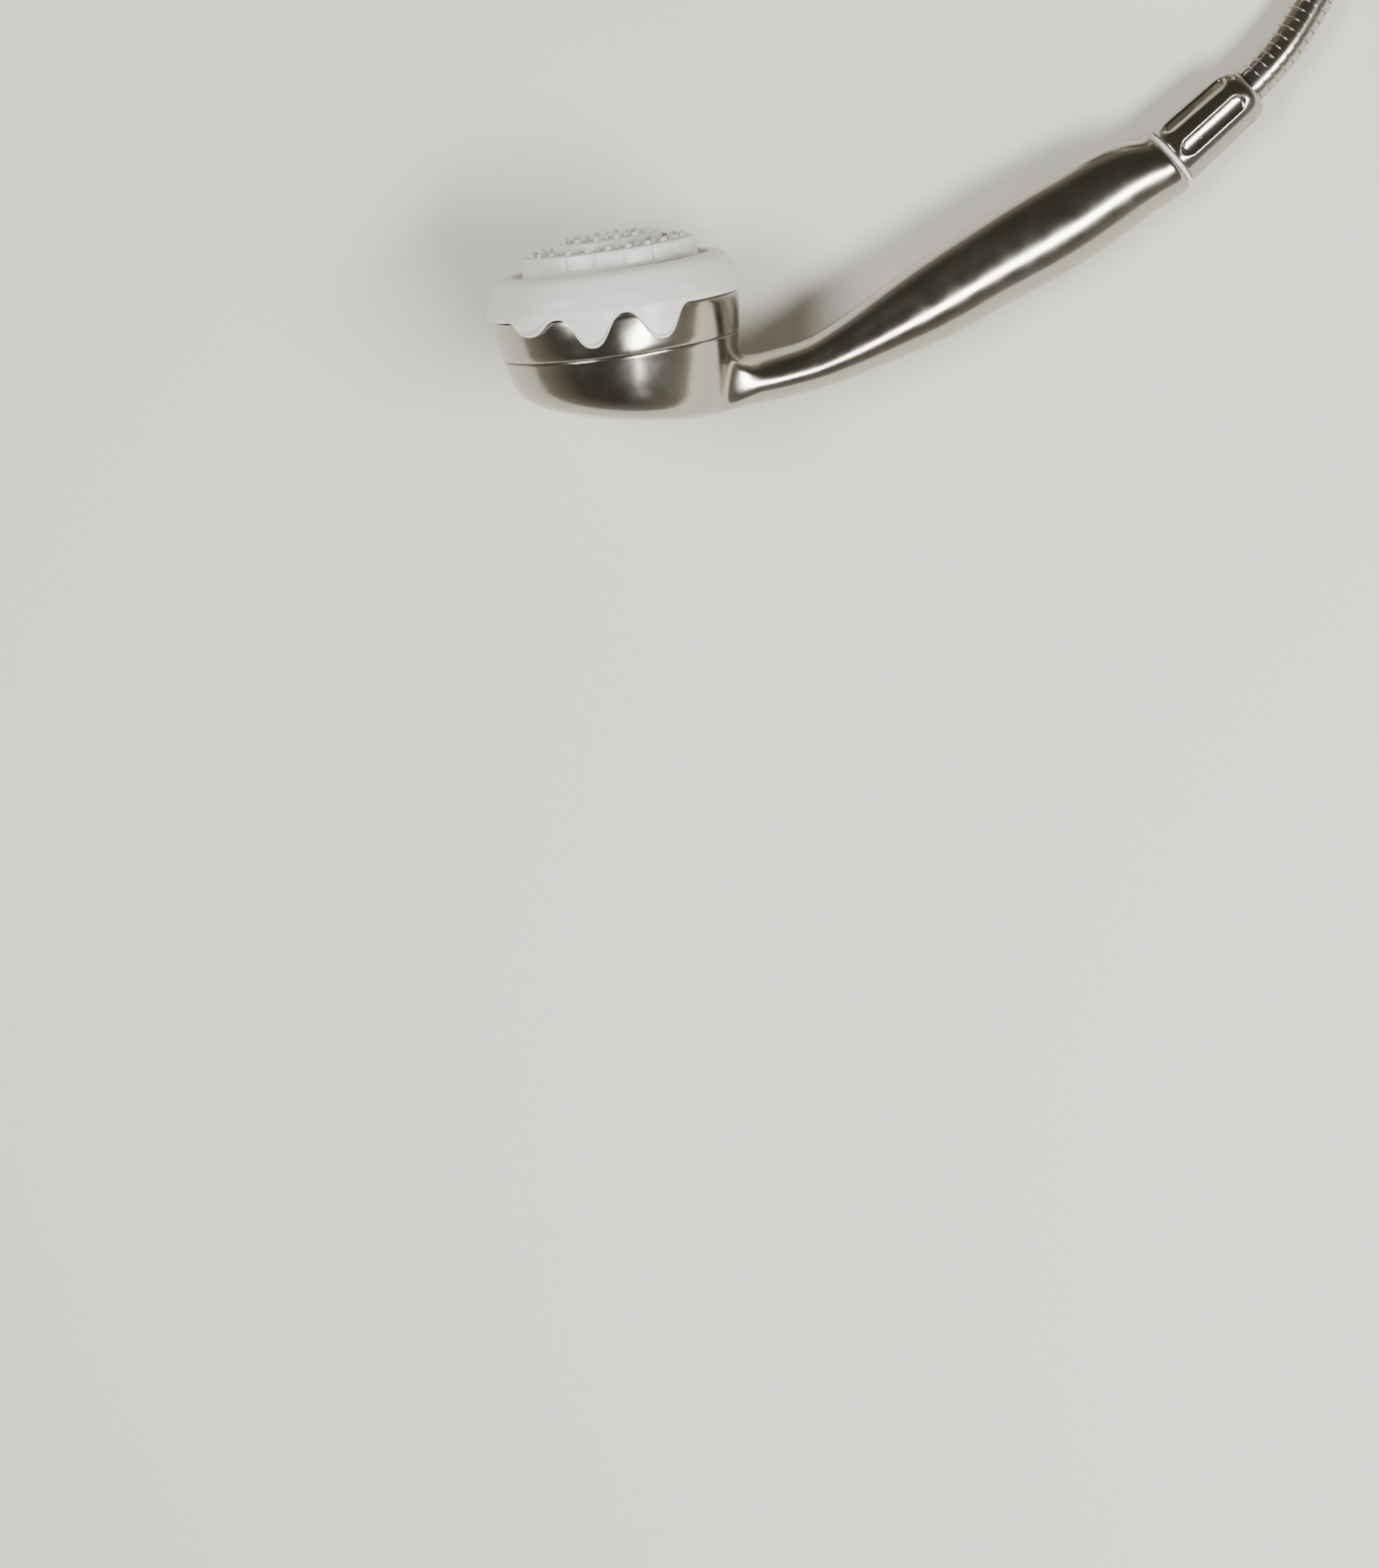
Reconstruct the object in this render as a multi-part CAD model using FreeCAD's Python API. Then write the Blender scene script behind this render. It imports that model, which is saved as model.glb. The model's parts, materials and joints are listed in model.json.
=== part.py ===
import FreeCAD, Part
import math
import os

# Hand shower with a metal hose, lying on its side. All sizes are in millimetres.
#
# The handset is modelled in its own frame: the head's axis is Z, pointing out of the spray face,
# with Z = 0 at the selector ring's widest plane. The handle leaves towards +X.
# One placement then lays the handset on the floor, where Z is up and the floor is Z = 0.

# Head
SEAM_Z = -17.7            # where the bowl meets the trim collar
BOWL_MOUTH_R = 46.0       # outer radius at the seam
BACK_R = 149.0            # radius of the bowl's shallow back
BACK_X = 25.0             # the back's lowest point, towards the handle
BACK_Z = -49.0
BACK_FILLET = 8.5
WALL = 2.8                # moulded wall thickness
LAND_R = 41.2             # bore that the port plate sits in
LAND_Z = -22.4

# Handle: x, z of the centre, half thickness, half width, direction in degrees above the X axis
HANDLE = [
    (20.0, -38.2, 9.3, 17.5, 0.0),
    (40.0, -38.0, 9.6, 15.0, 1.0),
    (56.0, -37.5, 9.6, 13.2, 5.0),
    (74.0, -35.0, 10.0, 12.4, 12.5),
    (93.0, -28.9, 12.1, 12.8, 20.0),
    (119.7, -18.2, 15.4, 13.8, 23.0),
    (145.3, -7.0, 16.6, 14.6, 24.0),
    (170.1, 3.2, 17.6, 15.0, 24.0),
    (193.8, 13.9, 16.6, 14.6, 25.5),
    (218.4, 23.3, 13.4, 13.0, 34.5),
]
SECTION_POINTS = 24
END_ROUND = 1.5

# Selector ring and face
RING_R = 50.3
RING_EDGE_Z = -1.5        # plain lower edge
LOBE_DROP = 11.6          # how far a finger lobe hangs below the plain edge
LOBE_PITCH = 31.0         # degrees between neighbouring lobes
LOBE_GROUPS = (-102.2, 77.8)
LOBE_SHARES = (0.48, 1.0, 1.0)   # how much of the full drop each lobe of a group has
LOBE_INNER_R = 47.9
DISC_R = 33.6             # nozzle disc, lower tier
DISC_TOP = 20.5
NOZZLE_BORE_R = 0.5
CROWN_R = 21.0            # nozzle disc, upper tier
CROWN_TOP = 23.7
RIM_BLOCKS = 18
SELECTOR_TURN = 45.0      # degrees each way to the outer spray settings

# Hub and running clearances
HUB_R = 6.0
RUN = 0.05                # radial running clearance
SCREW_R = 2.0
PORT_R = 22.0             # radius at which the feed port sits
PORT_ANGLE = -90.0
DETENT_R = 33.0
DETENT_ANGLE = 90.0
BALL_R = 2.4
BALL_Z = -15.3
PLATE_TOP = -14.5         # top of the fixed port plate
SPIN_Z = -13.6            # underside of the turning disc

# Threads, drawn as plain cylinders: G1/2
G_MALE_R = 10.4
G_NUT_R = 10.45
G_FEMALE_R = 9.32
WALL_NUT_FLATS = 24.0
WALL_NUT_MOUTH = -9.5     # measured from the sealing face, back towards the hose is positive
WALL_NUT_BACK = 6.0

# Hose
HOSE_R = 7.0
NUT_LENGTH = 38.4
NUT_WIDE_R = 12.0
NUT_SHOULDER_R = 11.2     # just before the rounded shoulder at the hose end
NUT_START = 1.8           # gap behind the nipple's flange
FLUTES = 6                # grip flutes round the nut
FLUTE_HOLLOW_R = 14.0     # radius of the flute's hollow
FLUTE_FLOOR_R = 10.75     # how far from the axis a flute's floor is
FLUTE_HALF_WIDTH = 3.7
FLUTE_FROM = 8.0          # where the straight part of a flute starts, from the nut's mouth
FLUTE_TO = 29.0
SEAL_FACE = 15.0          # distance from the handle's end to the hose fitting's sealing face
CRIMP_END = 21.0          # distance from that sealing face to the hose's cut end

# How the handset lies: rolled face up onto the ring and the bowl, pitched onto the handle's end,
# and turned a little on the floor
ROLL = 14.0
PITCH = 11.1
YAW = 8.0

# The hose's free stretch after the straight run out of the nut, chosen by hand, in the finished
# frame. It ends where it joins the stored coil's outer turn.
HOSE_FIRST_RUN = 16.0
HOSE_POINTS = [(165.5, 90.0, 9.2), (175.5, 112.0, 7.4), (179.5, 140.0, 7.0), (179.5, 185.0, 7.0)]

# The stored coil: two turns on the floor, one nested on them, and the last part on top of that
COIL_X = 102.5
COIL_Y = 185.0
COIL_R = 70.0             # middle of the turns
NEST = 12.1               # rise of a turn that lies in the groove between two
TAIL_FROM = 235.0         # where the last part starts to climb, degrees round the coil
TAIL_TO = 368.0
TAIL_HEIGHTS = (19.1, 24.5, 32.0, 36.5, 40.4, 40.4)

X = FreeCAD.Vector(1, 0, 0)
Y = FreeCAD.Vector(0, 1, 0)
Z = FreeCAD.Vector(0, 0, 1)
O = FreeCAD.Vector(0, 0, 0)


def vec(x, y, z):
    return FreeCAD.Vector(x, y, z)


def polar(radius, degrees, z):
    a = math.radians(degrees)
    return vec(radius * math.cos(a), radius * math.sin(a), z)


def lathe(outline):
    """A solid turned about Z from a closed outline of (radius, z) points."""
    points = [vec(r, 0, z) for r, z in outline]
    face = Part.Face(Part.makePolygon(points + [points[0]]))
    return face.revolve(O, Z, 360)


def tube(outer, inner, low, high):
    return lathe([(inner, low), (outer, low), (outer, high), (inner, high)])


def rod(radius, low, high, at=O):
    return Part.makeCylinder(radius, high - low, vec(at.x, at.y, low), Z)


def torus(major, minor, z):
    return Part.makeTorus(major, minor, vec(0, 0, z), Z)


def fused(shapes):
    return shapes[0].multiFuse(shapes[1:]).removeSplitter()


# ---------------------------------------------------------------- handset shell

def smooth_lathe(curve_points, low, high):
    """A solid of revolution whose wall is one smooth curve through (radius, z) points."""
    points = [vec(r, 0, z) for r, z in curve_points]
    wall = Part.BSplineCurve()
    wall.interpolate(points)
    top, bottom = points[0], points[-1]
    edges = [
        wall.toShape(),
        Part.makeLine(bottom, vec(0, 0, low)),
        Part.makeLine(vec(0, 0, low), vec(0, 0, high)),
        Part.makeLine(vec(0, 0, high), top),
    ]
    return Part.Face(Part.Wire(edges)).revolve(O, Z, 360)


def bowl(inset):
    """The head's bowl, a tapering wall cut by a shallow ball, moved inwards by inset."""
    wall = [
        (BOWL_MOUTH_R - inset, SEAM_Z),
        (44.9 - inset, -23.0),
        (43.3 - inset, -30.0),
        (41.0 - inset, -38.0),
        (37.4 - inset, -50.0),
    ]
    body = smooth_lathe(wall, -50.0, SEAM_Z)
    ball = Part.makeSphere(BACK_R - inset, vec(BACK_X, 0, BACK_Z + BACK_R))
    body = body.common(ball)
    corner = [e for e in body.Edges if e.BoundBox.ZMax < SEAM_Z - 5 and e.BoundBox.XLength > 40]
    return body.makeFillet(BACK_FILLET - inset, corner)


def handle_section(station, inset):
    x, z, thick, wide, degrees = station
    a = math.radians(degrees)
    up = vec(-math.sin(a), 0, math.cos(a))
    points = []
    for i in range(SECTION_POINTS):
        t = 2 * math.pi * i / SECTION_POINTS
        point = vec(x, 0, z) + up * ((thick - inset) * math.sin(t)) + Y * ((wide - inset) * math.cos(t))
        points.append(point)
    curve = Part.BSplineCurve()
    curve.interpolate(Points=points, PeriodicFlag=True)
    return Part.Wire(curve.toShape())


def handle(inset, stations):
    return Part.makeLoft([handle_section(s, inset) for s in stations], True, False)


def end_frame():
    """The inlet's frame: centre of the handle's end face, and the direction out of it."""
    x, z, _, _, degrees = HANDLE[-1]
    a = math.radians(degrees)
    return vec(x, 0, z), vec(math.cos(a), 0, math.sin(a))


def on_inlet(shape):
    """Moves a shape built on +Z from the origin onto the handle's inlet axis."""
    centre, direction = end_frame()
    out = shape.copy()
    out.Placement = FreeCAD.Placement(centre, FreeCAD.Rotation(Z, direction)).multiply(out.Placement)
    return out


def handset_shell():
    outside = handle(0, HANDLE)
    centre, direction = end_frame()
    rim = [e for e in outside.Edges if (e.CenterOfMass - centre).Length < 1.0]
    outside = outside.makeFillet(END_ROUND, rim)
    outside = bowl(0).fuse(outside)
    inside = bowl(WALL).cut(rod(60, LAND_Z, SEAM_Z + 1))
    inside = inside.fuse(handle(WALL, HANDLE[:-1]))
    mouth = rod(LAND_R, LAND_Z - 0.1, SEAM_Z + 1)
    bore = on_inlet(rod(8.2, -50, 2))
    boss = rod(5.6, -45.5, -22.6)
    shell = outside.cut(inside.fuse([mouth, bore]))
    shell = shell.fuse(boss.common(bowl(0.5)))
    return shell.cut(rod(SCREW_R, -36, -20))


def chrome_collar():
    outline = [
        (44.6, SEAM_Z), (45.6, SEAM_Z), (46.1, SEAM_Z + 0.5), (46.8, -12.0), (47.3, -7.0),
        (47.4, -2.2), (46.4, -1.9), (45.9, -2.4), (45.5, -12.8), (43.6, -12.8), (43.6, -14.4),
        (44.6, -14.4),
    ]
    return lathe(outline)


def waterway_base():
    groove = -20.9
    outline = [
        (0, LAND_Z), (40.0, LAND_Z), (41.1, -22.0), (41.1, groove - 1.1), (39.3, groove - 1.1),
        (39.3, groove + 1.1), (41.1, groove + 1.1), (41.1, SEAM_Z), (44.5, SEAM_Z),
        (44.5, PLATE_TOP), (0, PLATE_TOP),
    ]
    plate = lathe(outline)
    lighten = tube(31.0, 14.0, LAND_Z - 1, -18.0)
    seal_at = polar(PORT_R, PORT_ANGLE, 0)
    ball_at = polar(DETENT_R, DETENT_ANGLE, 0)
    pockets = [
        rod(7.2, -26.0, PLATE_TOP, seal_at),
        rod(4.2, -25.0, PLATE_TOP, ball_at),
        rod(HUB_R, -22.4, 0.0),
    ]
    lug = Part.makeBox(3.0, 3.0, 2.6, vec(-1.5, -1.5, PLATE_TOP))
    lug.translate(polar(38.5, PORT_ANGLE, 0))
    body = fused([plate.cut(lighten)] + pockets + [lug])
    holes = [
        rod(5.6, -24.8, 0, seal_at),
        rod(3.6, -27, 0, seal_at),
        rod(BALL_R + RUN, -23.6, 0, ball_at),
        rod(SCREW_R + 0.1, -30, 1),
    ]
    return body.cut(Part.Compound(holes))


def base_oring():
    return torus(40.2, 0.9, -20.9)


def port_seal():
    seal = tube(5.5, 3.6, -19.8, SPIN_Z - RUN)
    seal.translate(polar(PORT_R, PORT_ANGLE, 0))
    return seal


def coil_spring(radius, wire, low, high, turns):
    """A compression spring: a round wire swept along a helix between two levels."""
    pitch = (high - low - 2 * wire) / turns
    path = Part.makeHelix(pitch, pitch * turns, radius)
    profile = Part.Wire(Part.makeCircle(wire, vec(radius, 0, 0), Y))
    spring = Part.Wire(path).makePipeShell([profile], True, True)
    spring.translate(vec(0, 0, low + wire))
    return spring


def seal_spring():
    spring = coil_spring(4.7, 0.4, -24.75, -19.85, 3.0)
    spring.translate(polar(PORT_R, PORT_ANGLE, 0))
    return spring


def detent_spring():
    spring = coil_spring(1.8, 0.3, -23.5, -18.5, 4.0)
    spring.translate(polar(DETENT_R, DETENT_ANGLE, 0))
    return spring


def detent_ball():
    return Part.makeSphere(BALL_R, polar(DETENT_R, DETENT_ANGLE, BALL_Z))


def screw_washer():
    return tube(9.0, SCREW_R + 0.1, 0.0, 1.0)


def retaining_screw():
    head = lathe([(0, 1.0), (4.2, 1.0), (4.2, 2.4), (3.2, 3.5), (0, 3.5)])
    slot = Part.makeBox(6.4, 1.0, 1.6, vec(-3.2, -0.5, 2.2))
    cross = slot.copy()
    cross.rotate(O, Z, 90)
    return head.fuse(rod(SCREW_R, -34.0, 1.0)).cut(slot.fuse(cross)).removeSplitter()


# ---------------------------------------------------------------- turning face

def distribution_disc():
    body = tube(43.0, HUB_R + RUN, SPIN_Z, -10.1)
    ports = [rod(3.2, SPIN_Z - 1, 0, polar(PORT_R, PORT_ANGLE + k * SELECTOR_TURN, 0)) for k in (-1, 0, 1)]
    groove = tube(DETENT_R + 2.2, DETENT_R - 2.2, SPIN_Z - 1, BALL_Z + BALL_R + 0.2)
    dimples = []
    for k in (-1, 0, 1):
        dimples.append(Part.makeSphere(BALL_R + 0.1, polar(DETENT_R, DETENT_ANGLE + k * SELECTOR_TURN, -14.9)))
    reach = SELECTOR_TURN + 3.2
    slot = Part.Face(Part.makePolygon([vec(36.4, 0, SPIN_Z - 1), vec(40.6, 0, SPIN_Z - 1),
                                       vec(40.6, 0, -11.4), vec(36.4, 0, -11.4),
                                       vec(36.4, 0, SPIN_Z - 1)]))
    slot.rotate(O, Z, PORT_ANGLE - reach)
    slot = slot.revolve(O, Z, 2 * reach)
    return body.cut(Part.Compound(ports)).cut(groove).cut(Part.Compound(dimples)).cut(slot)


def chamber_plate():
    floor = tube(42.8, HUB_R + RUN, -10.1, -8.1)
    walls = [
        tube(9.6, HUB_R + RUN, -8.5, -RUN),
        tube(13.6, 12.0, -8.5, 8.0),
        tube(27.0, 25.2, -8.5, 9.5),
        tube(40.0, 36.6, -8.5, 9.5),
    ]
    body = fused([floor] + walls)
    ports = []
    for k, radius in ((-1, 31.0), (0, PORT_R), (1, PORT_R)):
        at = polar(PORT_R, PORT_ANGLE + k * SELECTOR_TURN, 0)
        ports.append(rod(2.8, -11, -7, at))
        if radius != PORT_R:
            channel = Part.makeBox(10.0, 3.0, 1.2, vec(PORT_R, -1.5, -10.2))
            channel.rotate(O, Z, PORT_ANGLE + k * SELECTOR_TURN)
            ports.append(channel)
            ports.append(rod(1.5, -11, -7, polar(radius, PORT_ANGLE + k * SELECTOR_TURN, 0)))
    seat = tube(39.0, 37.2, 8.0, 10.0)
    return body.cut(Part.Compound(ports)).cut(seat)


def face_oring():
    return torus(38.1, 0.7, 8.75)


def lobe(centre, share):
    """One finger lobe's outline, a cosine wave, pushed through the skirt's wall."""
    half = math.radians(LOBE_PITCH / 2) * RING_R
    steps = 16
    points = [vec(60, -half, RING_EDGE_Z + 1)]
    for i in range(steps + 1):
        across = -half + 2 * half * i / steps
        drop = share * LOBE_DROP * (0.5 + 0.5 * math.cos(math.pi * across / half))
        points.append(vec(60, across, RING_EDGE_Z - drop))
    wave = Part.BSplineCurve()
    wave.interpolate(points[1:])
    top = vec(60, half, RING_EDGE_Z + 1)
    edges = [
        Part.makeLine(points[0], points[1]),
        wave.toShape(),
        Part.makeLine(points[-1], top),
        Part.makeLine(top, points[0]),
    ]
    prism = Part.Face(Part.Wire(edges)).extrude(vec(-20, 0, 0))
    prism.rotate(O, Z, centre)
    return prism


def selector_ring():
    bottom = RING_EDGE_Z - LOBE_DROP
    outline = [
        (47.9, RING_EDGE_Z), (50.1, RING_EDGE_Z), (RING_R, 0.0), (49.6, 3.7), (47.6, 8.0),
        (44.6, 11.5), (42.0, 13.4), (40.5, 13.8), (38.2, 13.8), (38.2, 9.6), (40.1, 9.6),
        (40.1, -5.0), (42.9, -5.0), (42.9, 3.0), (45.6, 5.0), (47.4, 3.4), (47.9, 0.0),
    ]
    skirt = lathe(outline)
    band = lathe([(LOBE_INNER_R, bottom - 0.5), (49.7, bottom - 0.5), (50.1, RING_EDGE_Z + 0.2),
                  (LOBE_INNER_R, RING_EDGE_Z + 0.2)])
    prisms = []
    for middle in LOBE_GROUPS:
        for k, share in zip((-1, 0, 1), LOBE_SHARES):
            prisms.append(lobe(middle + k * LOBE_PITCH, share))
    lobes = band.common(Part.Compound(prisms))
    return skirt.fuse(lobes)


def nozzle_rings():
    """Radius, count and top level of each ring of nozzles."""
    return [(29.8, 24, DISC_TOP), (25.2, 20, DISC_TOP), (17.6, 14, CROWN_TOP), (13.4, 10, CROWN_TOP)]


def nozzle_spots():
    for row, (radius, count, top) in enumerate(nozzle_rings()):
        for i in range(count):
            yield polar(radius, 360.0 * (i + 0.5 * (row % 2)) / count, 0), top


def face_plate():
    outline = [
        (38.0, 9.6), (38.0, 12.0), (34.2, 12.0), (34.2, 14.6), (DISC_R, 15.0),
        (DISC_R, DISC_TOP - 0.8), (DISC_R - 0.8, DISC_TOP), (CROWN_R + 0.5, DISC_TOP),
        (CROWN_R, DISC_TOP + 0.5), (CROWN_R, CROWN_TOP - 0.8), (CROWN_R - 0.8, CROWN_TOP),
        (9.7, CROWN_TOP), (9.7, 21.2), (18.6, 21.2), (18.6, 18.0), (31.2, 18.0), (31.2, 9.6),
    ]
    body = lathe(outline)
    grooves = []
    for i in range(RIM_BLOCKS):
        groove = Part.makeBox(2.0, 1.1, 6.4, vec(DISC_R - 0.9, -0.55, 14.8))
        groove.rotate(O, Z, 360.0 * (i + 0.5) / RIM_BLOCKS)
        grooves.append(groove)
    holes = [rod(1.6, top - 4, top + 1, at) for at, top in nozzle_spots()]
    return body.cut(Part.Compound(grooves)).cut(Part.Compound(holes))


def nozzle_mat():
    outline = [
        (10.6, 19.8), (17.4, 19.8), (17.4, 16.6), (31.0, 16.6), (31.0, 17.9), (18.7, 17.9),
        (18.5, 18.1), (18.5, 21.1), (10.6, 21.1),
    ]
    sheet = lathe(outline)
    studs = []
    bores = []
    for at, top in nozzle_spots():
        tip = Part.makeCone(1.45, 1.0, 1.4, vec(at.x, at.y, top), Z)
        studs.append(rod(1.45, top - 3.0, top, at))
        studs.append(tip)
        bores.append(rod(NOZZLE_BORE_R, top - 5, top + 2, at))
    return sheet.multiFuse(studs).cut(Part.Compound(bores))


def turbine_cup():
    cup = lathe([(0, 8.05), (13.4, 8.05), (13.4, 9.4), (10.4, 9.4), (10.4, 19.7), (9.9, 19.7),
                 (9.9, 10.0), (1.8, 10.0), (1.8, 10.6), (0, 10.6)])
    jets = []
    for i in range(3):
        jet = rod(1.2, 7, 12, O)
        jet.rotate(O, X, 35)
        jet.translate(vec(7.0, 0, 0))
        jet.rotate(O, Z, 120 * i)
        jets.append(jet)
    return cup.cut(Part.Compound(jets)).cut(rod(1.0, 9.0, 12))


def turbine_pin():
    return rod(1.0, 9.0, 21.4)


def turbine_wheel():
    hub = tube(2.4, 1.0 + RUN, 11.0, 18.0)
    blades = []
    for i in range(8):
        blade = Part.makeBox(7.0, 0.9, 4.4, vec(2.0, -0.45, 11.2))
        blade.rotate(O, Z, 45 * i)
        blades.append(blade)
    shutter = Part.makeCylinder(9.0, 1.2, vec(0, 0, 16.4), Z, 180).cut(rod(1.0 + RUN, 10, 20))
    return fused([hub, shutter] + blades)


def massage_plate():
    body = lathe([(0, 20.9), (9.6, 20.9), (9.6, 24.0), (9.0, 24.5), (0, 24.5)])
    slots = []
    for i in range(6):
        hole = Part.makeCylinder(1.0, 6.0, vec(5.6, 0, 20), Z)
        hole.rotate(O, Z, 60 * i)
        slots.append(hole)
    return body.cut(Part.Compound(slots)).cut(rod(1.0, 20, 21.4))


# ---------------------------------------------------------------- inlet and hose fittings

def inlet_nipple():
    outline = [
        (6.9, -12.0), (8.2, -12.0), (8.2, 0.0), (11.8, 0.0), (11.8, 1.3), (11.6, 1.5),
        (9.6, 1.5), (9.6, 2.9), (G_MALE_R, 3.5), (G_MALE_R, 12.5), (9.9, 13.0), (8.0, 13.0),
        (8.0, 11.9), (6.9, 11.9),
    ]
    return on_inlet(lathe(outline))


def inlet_filter():
    disc = lathe([(0, 12.3), (5.0, 12.3), (7.95, 11.9), (7.95, 12.9), (5.0, 12.9), (0, 12.9)])
    holes = [rod(0.45, 11, 14)]
    for ring, count in ((1.8, 6), (3.6, 12), (5.4, 18)):
        for i in range(count):
            holes.append(rod(0.45, 11, 14, polar(ring, 360.0 * i / count, 0)))
    return on_inlet(disc.cut(Part.Compound(holes)))


def flow_regulator():
    outline = [
        (1.6, -3.0), (6.8, -3.0), (6.8, 0.6), (5.4, 0.6), (5.4, 2.6), (6.8, 2.6), (6.8, 5.0),
        (1.6, 5.0),
    ]
    return on_inlet(lathe(outline))


def regulator_oring():
    return on_inlet(torus(6.1, 0.7, 1.6))


def hose_washer():
    return on_inlet(tube(9.2, 5.5, 13.0, SEAL_FACE))


def hose_tail_fitting():
    """The flanged nipple that the hose is crimped on, built along +Z from its sealing face."""
    return lathe([(3.8, 0), (9.0, 0), (9.0, 2.2), (4.95, 2.2), (4.95, CRIMP_END), (3.8, CRIMP_END)])


def crimp():
    return lathe([(5.0, 2.2), (7.6, 2.2), (8.0, 2.8), (8.0, 20.0), (7.6, CRIMP_END), (5.0, CRIMP_END)])


def hose_nipple():
    fitting = hose_tail_fitting()
    fitting.translate(vec(0, 0, SEAL_FACE))
    return on_inlet(fitting)


def crimp_sleeve():
    sleeve = crimp()
    sleeve.translate(vec(0, 0, SEAL_FACE))
    return on_inlet(sleeve)


def cone_nut():
    end = NUT_START + NUT_LENGTH
    outline = [
        (G_NUT_R, NUT_START), (11.5, NUT_START), (NUT_WIDE_R, NUT_START + 0.5),
        (NUT_WIDE_R, NUT_START + 3.8), (NUT_SHOULDER_R, end - 6.0), (10.8, end - 3.8),
        (10.1, end - 2.0), (9.2, end - 0.7), (8.4, end), (HOSE_R + 0.4, end),
        (HOSE_R + 0.4, end - 3.6), (8.2, end - 4.6), (8.2, 17.4), (9.3, 17.4), (9.3, 13.4),
        (G_NUT_R, 13.4),
    ]
    body = lathe(outline)
    # wide shallow flutes with round ends, closed by a plain band at each end of the nut
    flutes = []
    low = NUT_START + FLUTE_FROM
    high = NUT_START + FLUTE_TO
    half = FLUTE_HALF_WIDTH
    for i in range(FLUTES):
        scoop = rod(FLUTE_HOLLOW_R, 0.0, end, vec(FLUTE_HOLLOW_R + FLUTE_FLOOR_R, 0, 0))
        window = Part.makeBox(8.0, 2 * half, high - low, vec(8.0, -half, low))
        for level in (low, high):
            window = window.fuse(Part.makeCylinder(half, 8.0, vec(8.0, 0, level), X))
        flute = scoop.common(window)
        flute.rotate(O, Z, 360.0 / FLUTES * i)
        flutes.append(flute)
    return on_inlet(body.cut(Part.Compound(flutes)))


# ---------------------------------------------------------------- hose and its wall end

def bend(before, corner, after):
    """The arc that rounds a corner of the route, with its radius."""
    back = before - corner
    ahead = after - corner
    reach = 0.45 * min(back.Length, ahead.Length)
    half = (math.pi - back.getAngle(ahead)) / 2
    radius = reach / math.tan(half)
    start = corner + back.normalize() * reach
    finish = corner + ahead.normalize() * reach
    towards = (start + finish) * 0.5 - corner
    middle = corner + towards.normalize() * (radius / math.cos(half) - radius)
    return start, middle, finish, radius


def hose_along(points):
    """A round hose along straight runs joined by tangent arcs."""
    edges = []
    radii = []
    last = points[0]
    for before, corner, after in zip(points, points[1:], points[2:]):
        start, middle, finish, radius = bend(before, corner, after)
        edges.append(Part.LineSegment(last, start).toShape())
        edges.append(Part.Arc(start, middle, finish).toShape())
        radii.append(round(radius))
        last = finish
    edges.append(Part.LineSegment(last, points[-1]).toShape())
    path = Part.Wire(edges)
    length = path.Length
    section = Part.Wire(Part.makeCircle(HOSE_R, points[0], points[1] - points[0]))
    hose = path.makePipeShell([section], True, False)
    print("hose stretch", round(length), "mm, arc radii", radii,
          "volume over section times length", round(hose.Volume / (math.pi * HOSE_R ** 2 * length), 4))
    return hose


def free_hose(place):
    centre, direction = end_frame()
    start = place.multVec(centre + direction * (SEAL_FACE + CRIMP_END))
    along = place.Rotation.multVec(direction)
    return hose_along([start, start + along * HOSE_FIRST_RUN] + [vec(*p) for p in HOSE_POINTS])


def hose_coil():
    """The outer shape of the stored turns, a stepped ring on the floor."""
    step = 2 * HOSE_R
    outline = [
        (COIL_R - step, 0), (COIL_R + step, 0), (COIL_R + step, step), (COIL_R + HOSE_R, step),
        (COIL_R + HOSE_R, step + NEST), (COIL_R - HOSE_R, step + NEST), (COIL_R - HOSE_R, step),
        (COIL_R - step, step),
    ]
    ring = lathe(outline)
    ring.translate(vec(COIL_X, COIL_Y, 0))
    return ring


def tail_points():
    """The route of the hose's last part, which climbs onto the coil and ends level."""
    count = len(TAIL_HEIGHTS)
    turn = (TAIL_TO - TAIL_FROM) / (count - 1)
    corner_r = COIL_R / math.cos(math.radians(turn / 2))
    points = []
    for i, height in enumerate(TAIL_HEIGHTS):
        radius = COIL_R if i in (0, count - 1) else corner_r
        points.append(polar(radius, TAIL_FROM + turn * i, height) + vec(COIL_X, COIL_Y, 0))
    return points


def hose_tail():
    return hose_along(tail_points())


def wall_end_frame():
    """The wall fitting's frame: its sealing face, and the direction back along the hose."""
    before, end = tail_points()[-2:]
    ahead = (end - before).normalize()
    return end + ahead * CRIMP_END, ahead * -1.0


def on_wall_end(shape):
    face, back = wall_end_frame()
    out = shape.copy()
    out.Placement = FreeCAD.Placement(face, FreeCAD.Rotation(Z, back)).multiply(out.Placement)
    return out


def wall_hose_nipple():
    return on_wall_end(hose_tail_fitting())


def wall_crimp_sleeve():
    return on_wall_end(crimp())


def wall_washer():
    return on_wall_end(tube(9.2, 5.5, -2.0, 0.0))


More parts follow.
